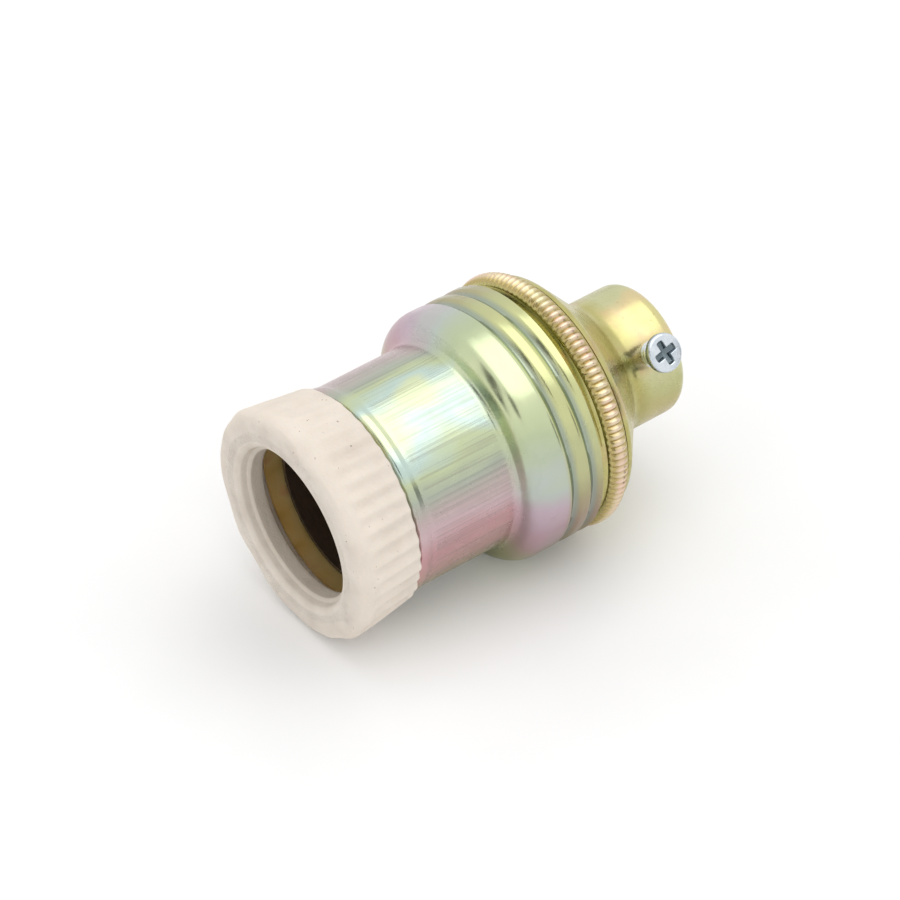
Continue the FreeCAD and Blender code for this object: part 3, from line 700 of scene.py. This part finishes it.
# %% Passivated cap
CAP_CLOUD = 4.17
COPPER_CLOUD = 3.33
NECK_CLOUD = 3.03
NECK_SHEEN_ANGLE = -60
DRIED_STAIN = 0.5
CAP_BLOTCH = 1.54
CAP_GRAIN = 0.625
cap_finish, tree, shader = new_material("gold_passivated_zinc_cap", 1.0, 0.28)
place = in_mm(tree)
flat, height, radius = round_axis(tree, place)
clouds = add(tree, "ShaderNodeTexNoise", {"Vector": place, "Scale": 1 / CAP_CLOUD, "Detail": 3.0})
film_and_sheen = add(tree, "ShaderNodeValToRGB", {0: clouds}, [
    (0.25, "ACA269"), (0.8, "B6B885"), (0.42, "B9B270"), (0.55, "C4BD80"), (0.66, "C4B080"),
])
copper_clouds = add(tree, "ShaderNodeTexNoise",
                    {"Vector": place, "Scale": 1 / COPPER_CLOUD, "Detail": 2.0})
# Painted highlight: the crests' pale copper is the film's pink made lighter, as a highlight.
copper_and_highlight = add(tree, "ShaderNodeValToRGB", {0: copper_clouds},
             [(0.3, "E2D9B0"), (0.7, "EECCBC"), (0.5, "E6D2B6")])
crest = add(tree, "ShaderNodeMapRange", {
    "Value": radius, "From Min": bead_radius - 0.34, "From Max": bead_radius - 0.06,
})
# The grooves get the darker gold BAA870 as painted shade, the crests the painted highlight.
knurl_highlight_and_shade = add(tree, "ShaderNodeMix", {0: crest, 6: "BAA870", 7: copper_and_highlight}, data_type="RGBA")
on_bead = add(tree, "ShaderNodeMapRange", {
    "Value": radius, "From Min": skirt_radius + 0.1, "From Max": skirt_radius + 0.35,
})
film_and_sheen = add(tree, "ShaderNodeMix", {0: on_bead, 6: film_and_sheen, 7: knurl_highlight_and_shade}, data_type="RGBA")
neck_clouds = add(tree, "ShaderNodeTexNoise",
                  {"Vector": place, "Scale": 1 / NECK_CLOUD, "Detail": 2.0})
neck_side = facing(tree, flat, NECK_SHEEN_ANGLE, neck_clouds, 0.22)
# Film colours plus a painted highlight: the palest stops, near 1, face the overhead lamp.
neck_film_and_sheen = add(tree, "ShaderNodeValToRGB", {0: neck_side}, [
    (0.0, "B2AA76"), (1.0, "DED69A"), (0.35, "BDAA7E"), (0.6, "C0B681"), (0.78, "BEC08F"),
    (0.88, "CDCEA4"), (0.95, "E2CDA0"),
])
on_neck = add(tree, "ShaderNodeMapRange", {
    "Value": height, "From Min": NECK_FRONT + 0.8, "From Max": NECK_FRONT + 2.6, "To Max": 0.85,
})
film_and_sheen = add(tree, "ShaderNodeMix", {0: on_neck, 6: film_and_sheen, 7: neck_film_and_sheen}, data_type="RGBA")
stains = add(tree, "ShaderNodeTexNoise", {"Vector": place, "Scale": 1 / DRIED_STAIN, "Detail": 2.0})
stained = add(tree, "ShaderNodeMapRange", {
    "Value": stains, "From Min": 0.7, "From Max": 0.78, "To Max": 0.5,
})
film_and_sheen = add(tree, "ShaderNodeMix", {0: stained, 6: film_and_sheen, 7: "6F6438"}, data_type="RGBA")
tree.links.new(film_and_sheen, shader.inputs["Base Color"])
blotches = add(tree, "ShaderNodeTexNoise",
               {"Vector": place, "Scale": 1 / CAP_BLOTCH, "Detail": 3.0})
gloss = add(tree, "ShaderNodeMapRange", {
    "Value": blotches, "From Min": 0.3, "From Max": 0.7, "To Min": 0.2, "To Max": 0.34,
})
tree.links.new(gloss, shader.inputs["Roughness"])
orange_peel = add(tree, "ShaderNodeTexNoise",
                  {"Vector": place, "Scale": 1 / CAP_GRAIN, "Detail": 3.0})
peeled = add(tree, "ShaderNodeBump", {
    "Height": orange_peel, "Distance": 0.008 * MM, "Strength": 0.5,
})
tree.links.new(peeled, shader.inputs["Normal"])
print("cap finish:", len(tree.nodes), "nodes")


# %% [markdown]
# The small metal parts have plain shop finishes: bright blue-white zinc on the screws, pressed
# brass, and hard bronze strip. Each one gets its own grain and a slow change of tone, so that no
# surface is even. They differ only in numbers, so one loop over a small table makes all three.

# %% Bright zinc, brass and bronze
# Each row: name, lowest and highest roughness, dark and light tone, width of clouds and grains.
METALS = {
    "bright_zinc": ("bright_blue_white_zinc", 0.2, 0.34, "CBD4DC", "E6ECF1", 1.11, 0.2),
    "brass": ("pressed_brass", 0.22, 0.4, "A5803A", "CBA65A", 2.0, 0.167),
    "spring_bronze": ("phosphor_bronze_strip", 0.25, 0.4, "9A6238", "BD8453", 1.67, 0.125),
}
finishes = {"porcelain": porcelain, "passivated_steel": shell_finish}
for slot, (name, smooth, rough, low, high, cloud, grain_width) in METALS.items():
    finishes[slot], tree, shader = new_material(name, 1.0, smooth)
    place = in_mm(tree)
    clouds = add(tree, "ShaderNodeTexNoise", {"Vector": place, "Scale": 1 / cloud, "Detail": 3.0})
    tone = add(tree, "ShaderNodeValToRGB", {0: clouds}, [(0.3, low), (0.7, high)])
    tree.links.new(tone, shader.inputs["Base Color"])
    grain = add(tree, "ShaderNodeTexNoise", {"Vector": place, "Scale": 1 / grain_width, "Detail": 3.0})
    gloss = add(tree, "ShaderNodeMapRange", {
        "Value": grain, "From Min": 0.3, "From Max": 0.7, "To Min": smooth, "To Max": rough,
    })
    tree.links.new(gloss, shader.inputs["Roughness"])
    worn = add(tree, "ShaderNodeBump", {"Height": grain, "Distance": 0.008 * MM, "Strength": 0.5})
    tree.links.new(worn, shader.inputs["Normal"])

print("metals:", sorted(METALS))


# %% [markdown]
# The cross in the set screw's head is deep and shows dark against the plated face. Light alone
# would not show that in so small a pit, so the same finish is darkened below the face, as painted
# shade in the cross. The depth is read along the screw, so no other screw is touched.

# %% Painted shade in the cross
tree = finishes["bright_zinc"].node_tree
shader = tree.nodes["Principled BSDF"]
screw_colour = shader.inputs["Base Color"].links[0].from_socket
screw_way = (math.cos(screw_angle), math.sin(screw_angle), 0)
reach = add(tree, "ShaderNodeVectorMath", {0: in_mm(tree), 1: screw_way}, operation="DOT_PRODUCT")
below_face = add(tree, "ShaderNodeMapRange", {
    "Value": reach, "From Min": HEAD_FACE - 0.45, "From Max": HEAD_FACE - 0.12,
    "To Min": 0.85, "To Max": 0.0,
})
in_head = add(tree, "ShaderNodeMapRange", {
    "Value": reach, "From Min": HEAD_BACK - 0.3, "From Max": HEAD_BACK - 0.1,
})
pit_shade = add(tree, "ShaderNodeMath", {0: below_face, 1: in_head}, operation="MULTIPLY")
# Painted shade: the cross's walls are mixed towards dark grey 4A5C62.
screw_colour = add(tree, "ShaderNodeMix", {0: pit_shade, 6: screw_colour, 7: "4A5C62"}, data_type="RGBA")
tree.links.new(screw_colour, shader.inputs["Base Color"])
print("set screw's head from", HEAD_BACK, "to", HEAD_FACE, "mm off the axis")


# %% [markdown]
# Vulcanised fibre is paper soaked and pressed into a hard brown-black sheet. Its strands lie round
# the rolled tube, so a noise squeezed along the axis gives both its tone and its fuzzy bump.

# %% Vulcanised fibre
FIBRE_STRAND = 0.714
STRAND_SQUEEZE = 5
finishes["fibre"], tree, shader = new_material("vulcanised_fibre", 0.0, 0.6)
squeezed = add(tree, "ShaderNodeVectorMath",
               {0: in_mm(tree), 1: (1, 1, STRAND_SQUEEZE)}, operation="MULTIPLY")
strands = add(tree, "ShaderNodeTexNoise",
              {"Vector": squeezed, "Scale": 1 / FIBRE_STRAND, "Detail": 4.0})
tone = add(tree, "ShaderNodeValToRGB", {0: strands}, [(0.3, "241A12"), (0.7, "3B2A1C")])
tree.links.new(tone, shader.inputs["Base Color"])
fuzzy = add(tree, "ShaderNodeBump", {"Height": strands, "Distance": 0.02 * MM, "Strength": 0.6})
tree.links.new(fuzzy, shader.inputs["Normal"])
print("finishes:", sorted(finishes))


# %% [markdown]
# Every solid of the frame gets the finish of its slot. The ring, the shell, the cap and the set
# screw are shown by the lathed pieces instead, because the solids lack their fine relief. Each piece
# rides on the body of its solid, so that it moves with it.

# %% Dressing
dressed = {
    "porcelain_ring": (ring, porcelain, "ring"),
    "shell": (shell, shell_finish, "shell"),
    "cap": (cap, cap_finish, "cap"),
    "set_screw": (screw, finishes["bright_zinc"], "set_screw"),
}
for part in frame["record"]["subparts"]:
    slots = frame["nodes"][part["node"]].data.materials
    slots.clear()
    slots.append(finishes[part["material_slot"]])
    if part["node"] in dressed:
        piece, finish, body = dressed[part["node"]]
        piece.data.materials.append(finish)
        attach(piece, body)
        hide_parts(part["node"])
print("dressed:", sorted(dressed))


# %% [markdown]
# The photograph was taken on a white ground under broad soft light. The holder lies on its side
# there, so the picture's floor is a plane that touches the ring and the bead. It shows from one
# side only, so that from behind it hides nothing. A second floor lies under the ring, where the
# holder stands by itself. It shows only from above and only to the camera, so that it keeps no
# light from the ring's face. The floors' reach is in metres, the other sizes are in mm.

# %% Floors
FLOOR_REACH = 1.5
GLOW = 0.06
PAPER_CLOUD = 20.0
RING_TOUCH_LEVEL = 1.0


def sheet(name, middle, half_first, half_second):
    """A flat stage piece spanned by two half widths, which faces their cross product."""
    signs = ((-1, -1), (1, -1), (1, 1), (-1, 1))
    corners = [middle + half_first * a + half_second * b for a, b in signs]
    mesh = bpy.data.meshes.new(name)
    mesh.from_pydata([list(c) for c in corners], [], [(0, 1, 2, 3)])
    mesh.update()
    piece = bpy.data.objects.new(name, mesh)
    bpy.context.scene.collection.objects.link(piece)
    return piece


def ground_finish(name, solid_to_all):
    """White paper that shows from its front only. Only the camera sees its faint glow."""
    material, tree, shader = new_material(name, 0.0, 0.9)
    tooth = add(tree, "ShaderNodeTexNoise",
                {"Vector": in_mm(tree), "Scale": 1 / PAPER_CLOUD, "Detail": 2.0})
    paper = add(tree, "ShaderNodeValToRGB", {0: tooth}, [(0.3, "F0F0F0"), (0.7, "F4F4F4")])
    tree.links.new(paper, shader.inputs["Base Color"])
    seen = add(tree, "ShaderNodeLightPath")
    white = add(tree, "ShaderNodeEmission", {"Color": (1, 1, 1, 1), "Strength": GLOW})
    lit = add(tree, "ShaderNodeAddShader", {0: shader.outputs[0], 1: white})
    lit = add(tree, "ShaderNodeMixShader", {0: seen, 1: shader.outputs[0], 2: lit})
    clear = add(tree, "ShaderNodeBsdfTransparent")
    hidden = add(tree, "ShaderNodeNewGeometry").node.outputs["Backfacing"]
    if not solid_to_all:
        unseen = add(tree, "ShaderNodeMath", {0: 1.0, 1: seen}, operation="SUBTRACT")
        hidden = add(tree, "ShaderNodeMath", {0: hidden, 1: unseen}, operation="MAXIMUM")
    one_sided = add(tree, "ShaderNodeMixShader", {0: hidden, 1: lit, 2: clear})
    tree.links.new(one_sided, tree.nodes["Material Output"].inputs["Surface"])
    return material


x_axis = Vector((1, 0, 0))
y_axis = Vector((0, 1, 0))
near_touch = Vector((0, RING_FRONT_RADIUS, RING_TOUCH_LEVEL)) * MM
far_touch = Vector((0, bead_radius, BEAD_FRONT + roll)) * MM
lie_along = (far_touch - near_touch).normalized()
lying_up = x_axis.cross(lie_along)
lying_floor = sheet("lying_floor", near_touch, x_axis * FLOOR_REACH, lie_along * FLOOR_REACH)
lying_floor.data.materials.append(ground_finish("white_ground", True))
foot = Vector((0, 0, 0))
standing_floor = sheet("standing_floor", foot, x_axis * FLOOR_REACH, y_axis * FLOOR_REACH)
standing_floor.data.materials.append(ground_finish("white_stand", False))
print("lying floor's normal:", [round(v, 3) for v in lying_up])


# %% [markdown]
# The light is a plain white tent: an even world, which reflections see a little brighter, and one
# broad lamp overhead for the highlight along the shell. More lamps would give more highlights than
# the photograph has. The lamp's distance and size are in metres, its power in watts.

# %% World and lamp
WORLD_LEVEL = 0.9
HOLDER_MIDDLE = Vector((0, 0, 22)) * MM
LAMP_DISTANCE = 0.5
LAMP_SIZE = 0.55
LAMP_POWER = 0.78
world = bpy.data.worlds.new("studio")
bpy.context.scene.world = world
world.use_nodes = True
sky = world.node_tree
sky_light = sky.nodes["Background"]
sky_light.inputs["Color"].default_value = (1, 1, 1, 1)
rays = add(sky, "ShaderNodeLightPath").node.outputs
seen = add(sky, "ShaderNodeMath", {0: rays["Is Camera Ray"], 1: rays["Is Glossy Ray"]},
           operation="MAXIMUM")
seen = add(sky, "ShaderNodeMath", {0: seen, 1: rays["Is Transmission Ray"]}, operation="MAXIMUM")
level = add(sky, "ShaderNodeMapRange", {"Value": seen, "To Min": WORLD_LEVEL, "To Max": 1.0})
sky.links.new(level, sky_light.inputs["Strength"])

to_lamp = (lying_up + screen_right * 0.2).normalized()
softbox = bpy.data.lights.new("overhead", "AREA")
softbox.size = LAMP_SIZE
softbox.energy = LAMP_POWER
lamp = bpy.data.objects.new("overhead", softbox)
aim = to_lamp.to_track_quat("Z", "Y").to_matrix().to_4x4()
lamp.matrix_world = Matrix.Translation(HOLDER_MIDDLE + to_lamp * LAMP_DISTANCE) @ aim
bpy.context.scene.collection.objects.link(lamp)
bpy.context.scene.view_settings.view_transform = "Standard"
print("lamps:", [light.name for light in bpy.data.lights])


# %% [markdown]
# Bright metal only reads as metal when it has something darker to reflect. A photographer sets
# grey cards round the object, outside the picture, and so does this cell. Only reflections see
# them, so they throw no shadow and dim nothing else. Their colour is even, so it is set on the
# shader itself.

# %% Grey cards
def card(name, direction, distance, width, height, grey):
    """A matt card at a distance from the holder, in metres, which only reflections see."""
    away = direction.normalized()
    across = away.cross(lying_up).normalized()
    upward = across.cross(away)
    middle = HOLDER_MIDDLE + away * distance
    piece = sheet(name, middle, across * width / 2, upward * height / 2)
    finish, tree, shader = new_material(name + "_card", 0.0, 0.9)
    shader.inputs["Base Color"].default_value = linear(grey)
    piece.data.materials.append(finish)
    piece.visible_camera = False
    piece.visible_diffuse = False
    piece.visible_shadow = False


card("behind_camera", to_eye + lying_up * 0.12,
     distance=0.6, width=0.16, height=0.2, grey="303030")
card("left_horizon", to_eye - screen_right * 0.9 + lying_up * 0.1,
     distance=0.7, width=0.25, height=0.5, grey="6A6A6A")
card("right_horizon", screen_right + to_eye * 0.1,
     distance=0.7, width=0.2, height=0.4, grey="8C8C8C")
print("three cards stand outside the picture")
